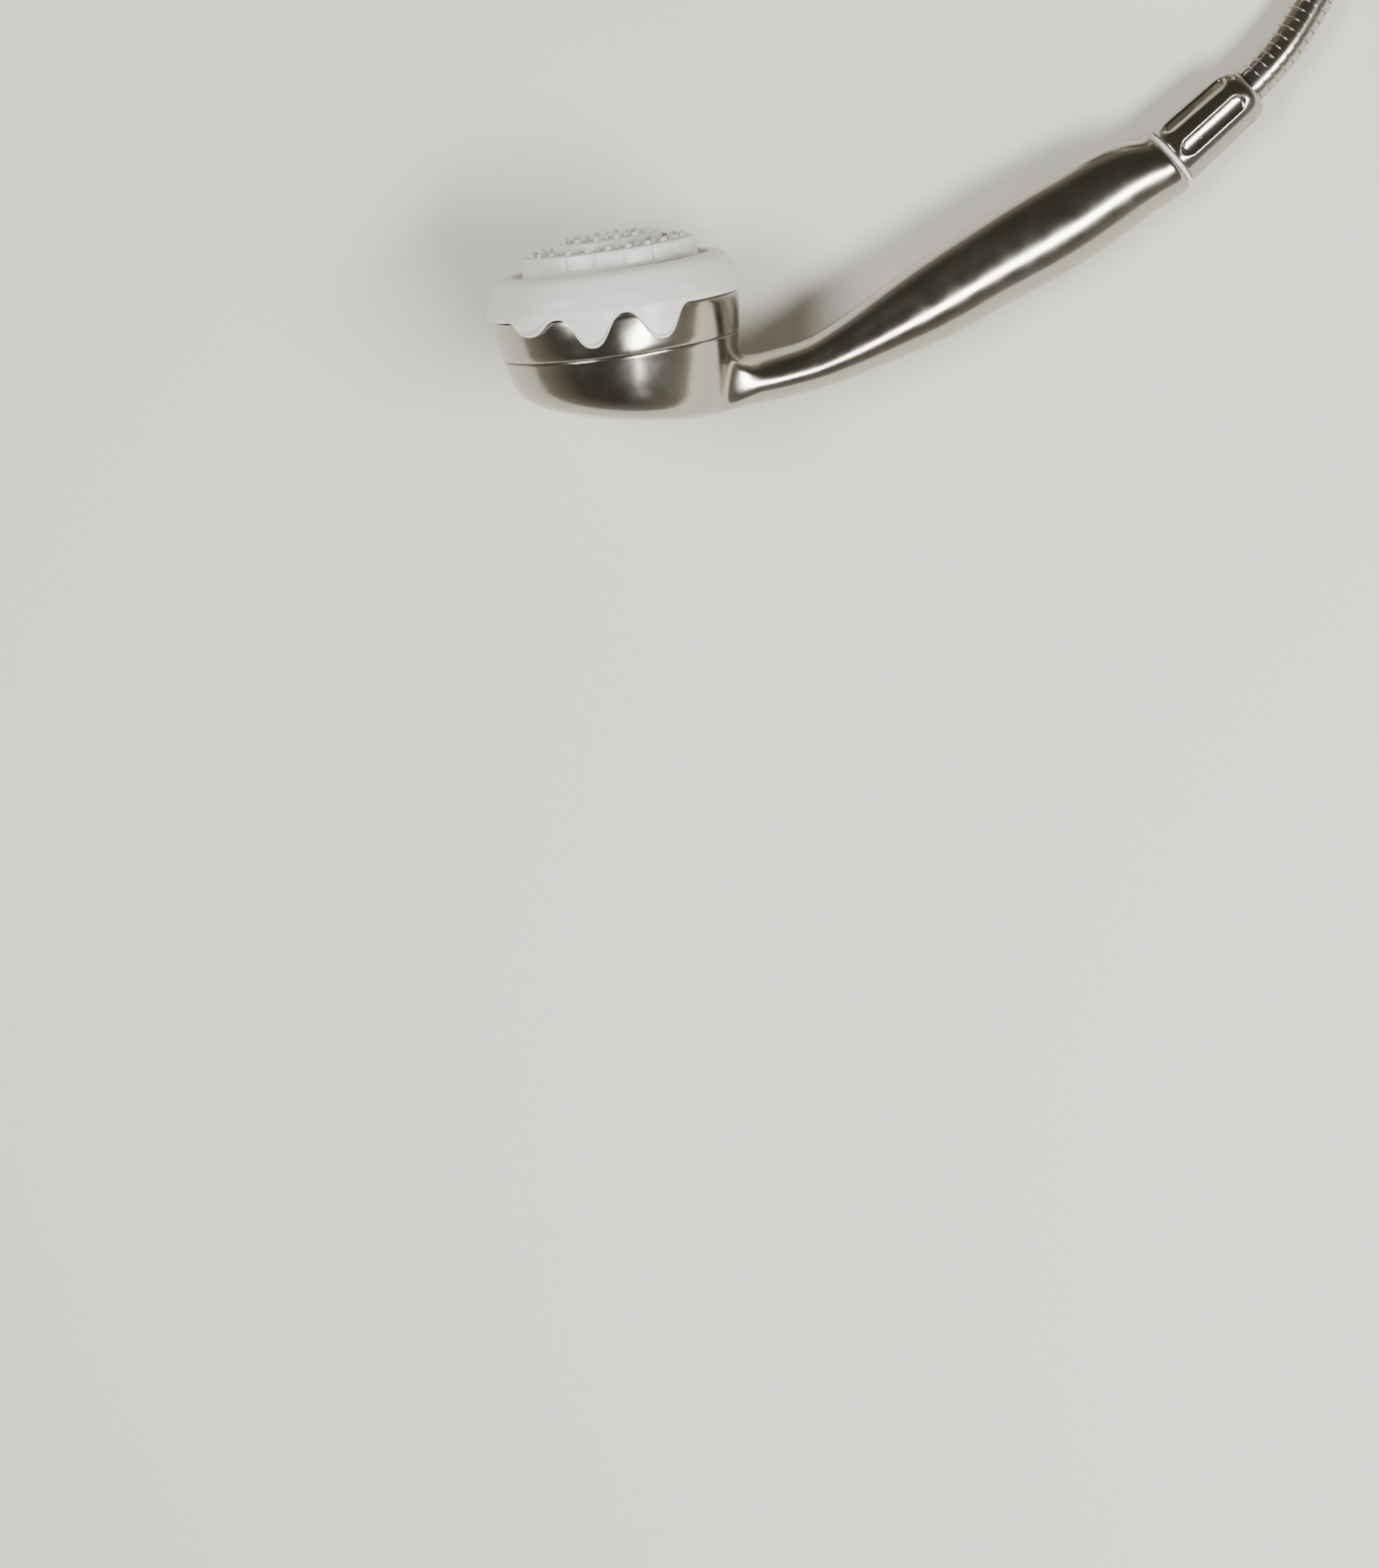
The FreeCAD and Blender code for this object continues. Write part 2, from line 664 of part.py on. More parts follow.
def wall_nut():
    """Hexagon union nut, 24 mm across flats, with chamfered corners and a G1/2 bore."""
    corner = WALL_NUT_FLATS / 2 / math.cos(math.radians(30))
    points = [polar(corner, 60 * i + 30, WALL_NUT_MOUTH) for i in range(7)]
    hexagon = Part.Face(Part.makePolygon(points)).extrude(Z * (WALL_NUT_BACK - WALL_NUT_MOUTH))
    chamfer = lathe([
        (0, WALL_NUT_MOUTH), (12.2, WALL_NUT_MOUTH), (corner, WALL_NUT_MOUTH + 1.0),
        (corner, WALL_NUT_BACK - 1.6), (11.0, WALL_NUT_BACK), (0, WALL_NUT_BACK),
    ])
    bore = lathe([
        (0, WALL_NUT_MOUTH - 1), (G_FEMALE_R, WALL_NUT_MOUTH - 1), (G_FEMALE_R, -2.0),
        (9.5, -2.0), (9.5, 2.3), (8.05, 2.3), (8.05, WALL_NUT_BACK + 1), (0, WALL_NUT_BACK + 1),
    ])
    return on_wall_end(hexagon.common(chamfer).cut(bore))


# ---------------------------------------------------------------- lay out and write

HANDSET_MAKERS = [
    handset_shell, chrome_collar, waterway_base, base_oring, port_seal, seal_spring, detent_spring,
    detent_ball, screw_washer, retaining_screw, distribution_disc, chamber_plate, face_oring,
    selector_ring, face_plate, nozzle_mat, turbine_cup, turbine_pin, turbine_wheel, massage_plate,
    inlet_nipple, inlet_filter, flow_regulator, regulator_oring, hose_washer, hose_nipple,
    crimp_sleeve, cone_nut,
]


WALL_END_MAKERS = [
    hose_coil, hose_tail, wall_hose_nipple, wall_crimp_sleeve, wall_washer, wall_nut,
]


def lying_down(parts):
    """The placement that lays the handset on the floor, centred over the origin."""
    turn = FreeCAD.Rotation(Z, YAW).multiply(FreeCAD.Rotation(Y, PITCH))
    turn = turn.multiply(FreeCAD.Rotation(X, ROLL - 90.0))
    laid = Part.Compound(list(parts.values()))
    laid.Placement = FreeCAD.Placement(O, turn)
    box = laid.optimalBoundingBox(False)
    shift = vec(-(box.XMin + box.XMax) / 2, -(box.YMin + box.YMax) / 2, -box.ZMin)
    return FreeCAD.Placement(shift, turn), box


def main():
    parts = {}
    for maker in HANDSET_MAKERS:
        parts[maker.__name__] = maker()
        shape = parts[maker.__name__]
        print(maker.__name__, "valid", shape.isValid(), "solids", len(shape.Solids), round(shape.Volume))
    place, box = lying_down(parts)
    for shape in parts.values():
        shape.Placement = place.multiply(shape.Placement)
    parts["hose"] = free_hose(place)
    for maker in WALL_END_MAKERS:
        parts[maker.__name__] = maker()
    centre, direction = end_frame()
    print("box", box)
    print("inlet", place.multVec(centre), "direction", place.Rotation.multVec(direction))
    print("head axis", place.multVec(O), place.Rotation.multVec(Z))
    face, back = wall_end_frame()
    print("wall fitting", face, back)
    os.makedirs("parts", exist_ok=True)
    for name, shape in parts.items():
        shape.exportStep("parts/" + name + ".step")


main()
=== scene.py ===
# %% [markdown]
# # A chrome hand shower lying on its side, with its metal hose
#
# The handset is one hollow moulding: a round bowl that runs into a handle. A pale selector ring
# turns on its front, and a steel hose screws on at the handle's end. A packed mechanical model
# already says where every part is and how it moves. This lesson loads that model, keeps the parts
# whose shape is right, and makes new meshes for the parts that the eye rests on.

import json
import math
import bmesh
import bpy
from mathutils import Matrix, Vector


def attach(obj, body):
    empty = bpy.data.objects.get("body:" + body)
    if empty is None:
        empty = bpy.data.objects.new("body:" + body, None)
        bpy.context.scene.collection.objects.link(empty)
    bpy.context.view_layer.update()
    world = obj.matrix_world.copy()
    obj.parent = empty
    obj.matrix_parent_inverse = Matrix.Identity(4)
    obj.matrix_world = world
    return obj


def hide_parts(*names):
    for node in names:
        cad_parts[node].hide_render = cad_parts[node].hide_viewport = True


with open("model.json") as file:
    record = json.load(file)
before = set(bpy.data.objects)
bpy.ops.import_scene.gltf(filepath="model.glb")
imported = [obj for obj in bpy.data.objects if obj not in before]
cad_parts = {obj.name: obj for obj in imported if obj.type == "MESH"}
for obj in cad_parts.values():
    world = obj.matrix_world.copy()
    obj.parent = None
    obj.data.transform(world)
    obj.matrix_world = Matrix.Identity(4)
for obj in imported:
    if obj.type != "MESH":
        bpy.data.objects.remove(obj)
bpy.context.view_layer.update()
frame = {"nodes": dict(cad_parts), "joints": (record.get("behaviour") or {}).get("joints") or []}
nodes = frame["nodes"]

# %% [markdown]
# ## Two working frames
#
# The handset lies tilted, so it is easier to model it upright and then lay it down. The selector's
# hinge gives the head's centre and the way the spray points. The hose nut's hinge gives the inlet.
# From these two come a matrix for the head (its Z is the spray axis and its X runs towards the
# handle) and a matrix for the inlet (its Z runs out of the handle). Both take millimetres.

# %% Frames for the head and the inlet
MM = 0.001
hinge = {joint["name"]: joint for joint in frame["joints"]}


def basis(origin, x_axis, z_axis):
    """A matrix from millimetres in a local frame to metres in the object's frame."""
    z = Vector(z_axis).normalized()
    x = (Vector(x_axis) - z * Vector(x_axis).dot(z)).normalized()
    y = z.cross(x)
    turn = Matrix((x, y, z)).transposed().to_4x4()
    return Matrix.Translation(origin) @ turn @ Matrix.Scale(MM, 4)


head_centre = Vector(hinge["selector_turn"]["pos_m"])
spray = Vector(hinge["selector_turn"]["axis"])
inlet = Vector(hinge["cone_nut_turn"]["pos_m"])
outward = Vector(hinge["cone_nut_turn"]["axis"])
HEAD = basis(head_centre, inlet - head_centre, spray)
INLET = basis(inlet, spray, outward)
print("head", head_centre, "inlet", inlet)

# %% [markdown]
# ## Camera
#
# The view is almost straight down from 1.2 m, with a small tilt towards the head. A long lens keeps
# the shapes flat, as in a product picture.

# %% Camera
CAMERA_PLACE = (0.15136, -0.18113, 1.2)
CAMERA_TILT = (-1.22, 10.85, 0.06)      # degrees about X, Y and Z, in that order
CAMERA_LENS = 69.71

camera_data = bpy.data.cameras.new("camera")
camera_data.lens = CAMERA_LENS
camera_data.sensor_width = 36.0
camera_data.clip_start = 0.01
camera = bpy.data.objects.new("camera", camera_data)
bpy.context.scene.collection.objects.link(camera)
tilt = [Matrix.Rotation(math.radians(angle), 4, axis) for angle, axis in zip(CAMERA_TILT, "XYZ")]
camera.matrix_world = Matrix.Translation(CAMERA_PLACE) @ tilt[0] @ tilt[1] @ tilt[2]
bpy.context.scene.camera = camera
print("camera at", CAMERA_PLACE)

# %% [markdown]
# ## Small helpers
#
# Every new mesh is made in a bmesh, moved to its place there, and only then given to an object that
# stays at the origin. Spin is the main tool, because a tap maker turns most of these parts.

# %% Helpers for meshes
def piece_from(bm, name, body, material, smooth_angle=35.0):
    """Makes the finished object of a bmesh and lets it ride on a body."""
    mesh = bpy.data.meshes.new(name)
    bm.to_mesh(mesh)
    bm.free()
    mesh.polygons.foreach_set("use_smooth", [True] * len(mesh.polygons))
    if smooth_angle < 180.0:
        mesh.set_sharp_from_angle(angle=math.radians(smooth_angle))
    piece = bpy.data.objects.new(name, mesh)
    bpy.context.scene.collection.objects.link(piece)
    piece.data.materials.append(material)
    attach(piece, body)
    return piece


def outline_in(bm, points, closed=True):
    """A chain of edges through (radius, height) points, in the XZ plane."""
    verts = [bm.verts.new((r, 0.0, z)) for r, z in points]
    pairs = list(zip(verts, verts[1:]))
    if closed:
        pairs.append((verts[-1], verts[0]))
    return verts + [bm.edges.new(pair) for pair in pairs]


def turned(points, steps, closed=True):
    """A bmesh of an outline spun once round Z, with its faces outwards."""
    bm = bmesh.new()
    chain = outline_in(bm, points, closed)
    bmesh.ops.spin(bm, geom=chain, cent=(0, 0, 0), axis=(0, 0, 1), angle=2 * math.pi,
                   steps=steps, use_merge=True)
    bmesh.ops.remove_doubles(bm, verts=bm.verts, dist=1e-4)
    bmesh.ops.recalc_face_normals(bm, faces=bm.faces)
    return bm


def smooth_curve(points, per_span=6):
    """More points on a smooth curve through the given (radius, height) points."""
    ends = [points[0]] + list(points) + [points[-1]]
    fine = []
    for a, b, c, d in zip(ends, ends[1:], ends[2:], ends[3:]):
        for i in range(per_span):
            t = i / per_span
            fine.append(tuple(
                0.5 * (2 * q + (r - p) * t + (2 * p - 5 * q + 4 * r - s) * t ** 2
                       + (3 * q - p - 3 * r + s) * t ** 3)
                for p, q, r, s in zip(a, b, c, d)))
    return fine + [tuple(points[-1])]


# %% [markdown]
# ## Materials
#
# A plated part is ABS plastic under a few microns of copper, nickel and chrome. The eye gets a
# mirror that is a touch grey and warm, and very slightly uneven, because plating copies the flow of
# the moulding. Colours are written as sRGB hex and turned to linear by one function.

# %% Helpers for materials
def hex_colour(code):
    """Linear RGBA of an sRGB hex colour."""
    channels = [int(code[i:i + 2], 16) / 255 for i in (1, 3, 5)]
    linear = [c / 12.92 if c <= 0.04045 else ((c + 0.055) / 1.055) ** 2.4 for c in channels]
    return (*linear, 1.0)


def add_node(owner, kind, links=None, **settings):
    """Adds one shader node, with its sockets' values and its links, to a material or a world."""
    node = owner.node_tree.nodes.new(kind)
    for name, value in settings.items():
        node.inputs[name.replace("_", " ")].default_value = value
    for socket, source in (links or {}).items():
        owner.node_tree.links.new(source, node.inputs[socket])
    return node


def new_material(name, **shader_settings):
    """A material with a Principled shader, and its shader node."""
    material = bpy.data.materials.new(name)
    material.use_nodes = True
    shader = material.node_tree.nodes["Principled BSDF"]
    for socket, value in shader_settings.items():
        shader.inputs[socket.replace("_", " ")].default_value = value
    return material, shader


def per_mm(size):
    """The Scale of a pattern on Object coordinates whose features are that many millimetres."""
    return 1.0 / (size * MM)


# %% Plated chrome
# Electroplated ABS: a bright, slightly warm mirror with faint waves left by the moulding, and
# dried water marks that dull it here and there.
chrome, shader = new_material("electroplated_chrome_on_ABS", Metallic=1.0)
shader.inputs["Base Color"].default_value = hex_colour("#ADA89D")
place = add_node(chrome, "ShaderNodeTexCoord").outputs["Object"]
marks = add_node(chrome, "ShaderNodeTexNoise", {"Vector": place}, Scale=per_mm(9.0), Detail=4.0)
dulled = add_node(chrome, "ShaderNodeMapRange", {"Value": marks.outputs["Fac"]},
                  From_Min=0.35, From_Max=0.7, To_Min=0.15, To_Max=0.21)
chrome.node_tree.links.new(dulled.outputs["Result"], shader.inputs["Roughness"])
flow = add_node(chrome, "ShaderNodeTexNoise", {"Vector": place}, Scale=per_mm(14.0), Detail=1.0)
waves = add_node(chrome, "ShaderNodeBump", {"Height": flow.outputs["Fac"]},
                 Strength=0.12, Distance=0.0004)
chrome.node_tree.links.new(waves.outputs["Normal"], shader.inputs["Normal"])
print("material", chrome.name)

# %% Steel hose strip
# Stainless strip, rolled and interlocked, then polished: paler than the plating, and rubbed a
# little unevenly in use.
strip_steel, shader = new_material("polished_stainless_strip", Metallic=1.0)
shader.inputs["Base Color"].default_value = hex_colour("#B7B2A8")
place = add_node(strip_steel, "ShaderNodeTexCoord").outputs["Object"]
grain = add_node(strip_steel, "ShaderNodeTexNoise", {"Vector": place}, Scale=per_mm(5.0), Detail=2.0)
rubbed = add_node(strip_steel, "ShaderNodeMapRange", {"Value": grain.outputs["Fac"]},
                  From_Min=0.3, From_Max=0.7, To_Min=0.17, To_Max=0.23)
strip_steel.node_tree.links.new(rubbed.outputs["Result"], shader.inputs["Roughness"])
print("material", strip_steel.name)

# %% Moulded ABS, pale grey
# Injection-moulded ABS in a warm pale grey: satin, and a little light enters its skin, so thin
# lobes glow softly and shadows stay open.
pale_abs, shader = new_material("moulded_pale_ABS", Roughness=0.34, IOR=1.54)
shader.inputs["Base Color"].default_value = hex_colour("#DAD9D3")
shader.inputs["Subsurface Weight"].default_value = 0.25
shader.inputs["Subsurface Radius"].default_value = (0.0022, 0.0020, 0.0017)
shader.inputs["Subsurface Scale"].default_value = 1.0
place = add_node(pale_abs, "ShaderNodeTexCoord").outputs["Object"]
spark = add_node(pale_abs, "ShaderNodeTexNoise", {"Vector": place}, Scale=per_mm(0.6), Detail=2.0)
spark_bump = add_node(pale_abs, "ShaderNodeBump", {"Height": spark.outputs["Fac"]},
                      Strength=0.10, Distance=0.0001)
pale_abs.node_tree.links.new(spark_bump.outputs["Normal"], shader.inputs["Normal"])
print("material", pale_abs.name)

# %% [markdown]
# ## The hose
#
# A shower hose is steel strip wound into a spiral over a rubber tube. It is stiff, so it leaves the
# nut straight, comes down to the floor in an easy curve, and the rest is put away in a coil. The
# route is a handful of listed points, then the coil's turns, then the end that climbs on
# top. One NURBS spline smooths them all.

# %% The hose's route
HOSE_D = 0.014
HOSE_R = HOSE_D / 2
SEAL_TO_HOSE = 0.036                     # from the handle's end to the hose's cut end
FIRST_RUN = 0.016
LEAD = [(0.1655, 0.090, 0.0092), (0.1755, 0.112, 0.0074), (0.1795, 0.140, 0.007)]
COIL_AT = (0.1025, 0.185)
COIL_MIDDLE = 0.070                      # radius of the groove between the two floor turns
COIL_END = 945                           # degrees from the coil's first point to its last
POINT_STEP = 15
STEP_IN = (270, 350)                     # degrees over which the hose moves to the inner turn
STEP_UP = (600, 660)                     # and those over which it climbs into the groove
LAYER = 0.0121                           # how far it climbs there
TAIL_STEP = 26.6                         # degrees between points of the end that lies on top
# degrees round the coil, and height
TAIL = [(261.6, 0.0245), (288.2, 0.032), (314.8, 0.0365), (341.4, 0.0404), (368.0, 0.0404)]


def ease(value, start, end):
    """0 before start, 1 after end, and a soft ramp between them."""
    t = min(max((value - start) / (end - start), 0.0), 1.0)
    return t * t * (3.0 - 2.0 * t)


def round_coil(degrees, radius, height):
    """A point at an angle and a radius from the coil's middle, and a height above the floor."""
    angle = math.radians(degrees)
    return (COIL_AT[0] + radius * math.cos(angle), COIL_AT[1] + radius * math.sin(angle), height)


def coil_point(degrees):
    """Two turns side by side on the floor, then one in the groove on top of them."""
    climbed = ease(degrees, *STEP_UP)
    radius = COIL_MIDDLE + HOSE_R - HOSE_D * ease(degrees, *STEP_IN) + HOSE_R * climbed
    return round_coil(degrees, radius, HOSE_R + LAYER * climbed)


hose_start = inlet + outward * SEAL_TO_HOSE
route = [tuple(hose_start), tuple(hose_start + outward * FIRST_RUN)] + LEAD
route += [coil_point(angle) for angle in range(0, COIL_END + 1, POINT_STEP)]
# the spline cuts corners, so the tail's corners stand out by as much as it cuts
corner_radius = COIL_MIDDLE / math.cos(math.radians(TAIL_STEP / 2))
route += [round_coil(angle, corner_radius, height) for angle, height in TAIL[:-1]]
route.append(round_coil(TAIL[-1][0], COIL_MIDDLE, TAIL[-1][1]))

route_curve = bpy.data.curves.new("hose_route", "CURVE")
route_curve.dimensions = "3D"
spline = route_curve.splines.new("NURBS")
spline.points.add(len(route) - 1)
for point, place in zip(spline.points, route):
    point.co = (*place, 1.0)
spline.order_u = 3
spline.use_endpoint_u = True
spline.resolution_u = 24
print("route points", len(route))

# %% The hose's line
route_object = bpy.data.objects.new("hose_route", route_curve)
bpy.context.scene.collection.objects.link(route_object)
bpy.context.view_layer.update()
line_mesh = bpy.data.meshes.new_from_object(route_object)
line = [vert.co.copy() for vert in line_mesh.vertices]
bpy.data.objects.remove(route_object)
bpy.data.meshes.remove(line_mesh)
distance = [0.0]
for before, after in zip(line, line[1:]):
    distance.append(distance[-1] + (after - before).length)
HOSE_LENGTH = distance[-1]
print("hose length", round(HOSE_LENGTH, 4), "m, line points", len(line))


def along_hose(wanted):
    """The point on the hose's line at a distance from its start."""
    wanted = min(max(wanted, 0.0), HOSE_LENGTH)
    lo, hi = 0, len(distance) - 1
    while hi - lo > 1:
        mid = (lo + hi) // 2
        lo, hi = (mid, hi) if distance[mid] <= wanted else (lo, mid)
    share = (wanted - distance[lo]) / (distance[hi] - distance[lo])
    return line[lo].lerp(line[hi], share)


# %% [markdown]
# The strip shows as square bands: a flat crown about 3 mm wide, then a narrow groove where one turn
# hooks into the next. Each band is a few rings of points. A flat grid has one column for every ring,
# so rolling the grid round the line and merging its two long edges gives one clean tube.

# %% The hose's tube
BAND = 4.2                               # mm from one band to the next
BAND_RINGS = [(0.00, 6.3), (0.12, 6.3), (0.14, 6.85), (0.18, 7.0), (0.55, 7.0), (0.94, 7.0),
              (0.98, 6.85)]
AROUND = 24

bands = round(HOSE_LENGTH / (BAND * MM))
band_length = HOSE_LENGTH / bands
stations = [((i + share) * band_length, radius * MM)
            for i in range(bands) for share, radius in BAND_RINGS]
stations.append((HOSE_LENGTH, BAND_RINGS[0][1] * MM))

bm = bmesh.new()
bmesh.ops.create_grid(bm, x_segments=len(stations) - 1, y_segments=AROUND, size=0.5)
centres = []
turns = []
side = Vector((0, 0, 1))
for at, radius in stations:
    heading = (along_hose(at + MM) - along_hose(at - MM)).normalized()
    side = (side - heading * side.dot(heading)).normalized()
    centres.append(along_hose(at))
    turns.append(Matrix((side, heading.cross(side), heading)).transposed())
for vert in bm.verts:
    index = round((vert.co.x + 0.5) * (len(stations) - 1))
    angle = 2 * math.pi * round((vert.co.y + 0.5) * AROUND) / AROUND
    rim = Vector((math.cos(angle), math.sin(angle), 0.0)) * stations[index][1]
    vert.co = centres[index] + turns[index] @ rim
bmesh.ops.remove_doubles(bm, verts=bm.verts, dist=1e-6)
bmesh.ops.holes_fill(bm, edges=[edge for edge in bm.edges if edge.is_boundary], sides=AROUND)
bmesh.ops.recalc_face_normals(bm, faces=bm.faces)
hose_tube = piece_from(bm, "hose_tube", "handset", strip_steel, smooth_angle=22.0)
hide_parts("hose", "hose_coil", "hose_tail")
print("bands", bands, "triangles", 2 * len(hose_tube.data.polygons))

# %% [markdown]
# ## The handset's body
#
# The bowl and the handle are one moulding, so they need one skin that flows from one to the other.
# A boolean would leave a hard line at the neck. Instead a coarse cage is spun for the bowl, a
# window is opened in its wall, and the window's edge is extruded ring by ring into the handle. A
# Subdivision Surface then rounds everything, the neck's fillet included.

# %% The bowl's cage
SEAM = -17.7
WALL_CURVE = [(46.0, -17.7), (44.9, -23.0), (43.3, -30.0), (41.0, -38.0), (37.4, -50.0)]
BACK_BALL = (25.0, 100.0, 149.0)         # centre's x and z, and radius, of the shallow back
BOWL_STEPS = 48
FILLET_LEG = 10.0
WINDOW_TOP = 0.31                        # share of the wall's height
WALL_END_GUESS = -40.0
WALL_END_ROUNDS = 30


def wall_radius(z):
    """The bowl wall's radius at a height."""
    for (r0, z0), (r1, z1) in zip(WALL_CURVE, WALL_CURVE[1:]):
        if z >= z1:
            return r0 + (r1 - r0) * (z0 - z) / (z0 - z1)
    return WALL_CURVE[-1][0]


def back_height(x, y):
    """The height of the bowl's back under a point."""
    ball_x, ball_z, ball_r = BACK_BALL
    return ball_z - math.sqrt(ball_r ** 2 - (x - ball_x) ** 2 - y ** 2)


def wall_end(angle):
    """The height where the wall meets the back, found by going from one to the other."""
    z = WALL_END_GUESS
    for _ in range(WALL_END_ROUNDS):
        r = wall_radius(z)
        z = back_height(r * math.cos(angle), r * math.sin(angle))
    return z


# Each row is (kind, value). Fixed rows are (radius, height); the others follow the wall and back.
BOWL_ROWS = [
    ("fixed", (0.0, -22.4)), ("fixed", (20.0, -22.4)), ("fixed", (39.5, -22.4)),
    ("fixed", (41.2, -22.2)), ("fixed", (41.2, -18.4)), ("fixed", (41.6, -17.75)),
    ("fixed", (44.9, -17.7)), ("fixed", (45.8, -17.75)), ("fixed", (45.98, -18.3)),
    ("wall", 0.09), ("wall", WINDOW_TOP), ("leg", FILLET_LEG), ("corner", 0.0),
    ("back", FILLET_LEG), ("back", 20.0), ("back", 31.0), ("back", 60.0),
]
DRUM_R = 50.0

# a plain drum with a unit between its rows, each of which then goes to its place
bm = turned([(DRUM_R, -index) for index in range(len(BOWL_ROWS))], BOWL_STEPS, closed=False)
wall_column = {}
for vert in bm.verts:
    kind, value = BOWL_ROWS[round(-vert.co.z)]
    angle = math.atan2(vert.co.y, vert.co.x)
    end = wall_end(angle)
    if kind == "fixed":
        radius, z = value
    elif kind == "wall":
        z = SEAM + value * (end - SEAM)
        radius = wall_radius(z)
    elif kind == "back":
        radius = max(wall_radius(end) - value, 0.0)
        z = back_height(radius * math.cos(angle), radius * math.sin(angle))
    else:
        z = end + value
        radius = wall_radius(z)
    if kind in ("wall", "leg", "corner"):
        wall_column[vert] = round(math.degrees(angle) * BOWL_STEPS / 360.0)
    vert.co = (radius * math.cos(angle), radius * math.sin(angle), z)
bmesh.ops.remove_doubles(bm, verts=bm.verts, dist=1e-3)
print("bowl cage faces", len(bm.faces))

# %% The window for the handle
WINDOW_HALF = 3                          # segments each side of the handle's middle
WINDOW_SLACK = 1.5
ceiling = SEAM + (wall_end(0.0) - SEAM) * WINDOW_TOP + WINDOW_SLACK
in_window = [face for face in bm.faces
             if all(abs(wall_column.get(vert, BOWL_STEPS)) <= WINDOW_HALF for vert in face.verts)
             and max(vert.co.z for vert in face.verts) < ceiling]
bmesh.ops.delete(bm, geom=in_window, context="FACES")
rim = [edge for edge in bm.edges if edge.is_boundary]
print("window edges", len(rim))

# %% [markdown]
# The handle's rings are ellipses set square to a centre-line that rises from the bowl and then tips
# towards the hose. A subdivided cage shrinks a little inside its points, so each ring is drawn that
# much larger and the list of stations is sharpened once before use.

# %% The handle's rings
# x and z of the centre, half thickness, half width, and tilt in degrees
NECK = [(50.0, -37.9, 9.4, 14.0, 3.0), (56.0, -37.5, 9.6, 13.2, 5.0), (65.0, -36.4, 9.7, 12.7, 9.0)]
GRIP = [(74.0, -35.0, 10.0, 12.4, 12.5), (83.0, -32.3, 11.0, 12.6, 16.5),
        (93.0, -28.9, 12.1, 12.8, 20.0), (106.0, -23.7, 13.8, 13.3, 22.0),
        (119.7, -18.2, 15.4, 13.8, 23.0), (132.5, -12.6, 16.2, 14.2, 23.5),
        (145.3, -7.0, 16.6, 14.6, 24.0), (157.7, -1.9, 17.3, 14.9, 24.0),
        (170.1, 3.2, 17.6, 15.0, 24.0), (182.0, 8.4, 17.3, 14.9, 24.5),
        (193.8, 13.9, 16.6, 14.6, 25.5), (203.6, 18.1, 15.5, 14.0, 28.5),
        (211.2, 20.55, 14.35, 13.45, 31.75)]
END_CENTRE = Vector((218.4, 0.0, 23.3))
END_TILT = math.radians(34.5)
END_THICK, END_WIDE = 13.4, 13.0         # half thickness and half width of the end face
END_WIDE_SHARE = 0.96                    # how much of an inset the width takes
# radius inwards from the handle's skin, and distance back from its end face
END_ROWS = [(-0.35, 3.2), (0.1, 1.1), (1.5, 0.05), (2.9, 0.0), (4.6, 0.0), (5.0, 0.4), (5.0, 4.0)]
SOFT_ROWS = 3                            # these are rounded less on the upper side than below
SOFT_SHARE = 0.7                         # how much of their inset the upper side gets back
WINDOW_LIFT = 0.6                        # height of the window's middle over the first ring's
RING_POINTS = len(rim)
CAGE_GROWTH = 3.0 / (2.0 + math.cos(2 * math.pi / RING_POINTS))

wanted = NECK + GRIP
sharpened = [wanted[0]]
for before, here, after in zip(wanted, wanted[1:], wanted[2:]):
    limit = [(a + 4 * b + c) / 6 for a, b, c in zip(before, here, after)]
    sharpened.append([2 * b - m for b, m in zip(here, limit)])
sharpened.append(wanted[-1])
rings = []
for x, z, thick, wide, degrees in sharpened:
    rings.append((Vector((x, 0, z)), math.radians(degrees), thick, wide, 0.0))
way_out = Vector((math.cos(END_TILT), 0, math.sin(END_TILT)))
for row, (inset, back) in enumerate(END_ROWS):
    sharper = SOFT_SHARE * inset if row < SOFT_ROWS else 0.0
    wide = END_WIDE - inset * END_WIDE_SHARE
    rings.append((END_CENTRE - way_out * back, END_TILT, END_THICK - inset, wide, sharper))

window_middle = wanted[0][1] + WINDOW_LIFT
loop_verts = {vert for edge in rim for vert in edge.verts}


def turn_round(vert):
    """Where a window point sits round the handle, for sorting."""
    return math.atan2(vert.co.z - window_middle, vert.co.y) % (2 * math.pi)


# %% The handle's skin
ordered = sorted(loop_verts, key=turn_round)
start = min(range(RING_POINTS), key=lambda i: abs(math.sin(turn_round(ordered[i]) / 2)))
ordered = ordered[start:] + ordered[:start]
ring_edges = rim
for centre, tilt_angle, thick, wide, sharper in rings:
    up = Vector((-math.sin(tilt_angle), 0, math.cos(tilt_angle)))
    grown = bmesh.ops.extrude_edge_only(bm, edges=ring_edges)["geom"]
    new_verts = [item for item in grown if isinstance(item, bmesh.types.BMVert)]
    ring_edges = [item for item in grown if isinstance(item, bmesh.types.BMEdge)
                  and item.is_boundary]
    pairs = {}
    for old in ordered:
        pairs[old] = next(edge.other_vert(old) for edge in old.link_edges
                          if edge.other_vert(old) in new_verts)
    ordered = [pairs[old] for old in ordered]
    for index, vert in enumerate(ordered):
        angle = 2 * math.pi * index / RING_POINTS
        height = thick + sharper * max(math.sin(angle), 0.0)
        vert.co = (centre + up * (height * CAGE_GROWTH * math.sin(angle))
                   + Vector((0, wide * CAGE_GROWTH * math.cos(angle), 0)))
bmesh.ops.holes_fill(bm, edges=ring_edges, sides=RING_POINTS)
bmesh.ops.recalc_face_normals(bm, faces=bm.faces)
bm.transform(HEAD)
handset_skin = piece_from(bm, "handset_skin", "handset", chrome, smooth_angle=180.0)
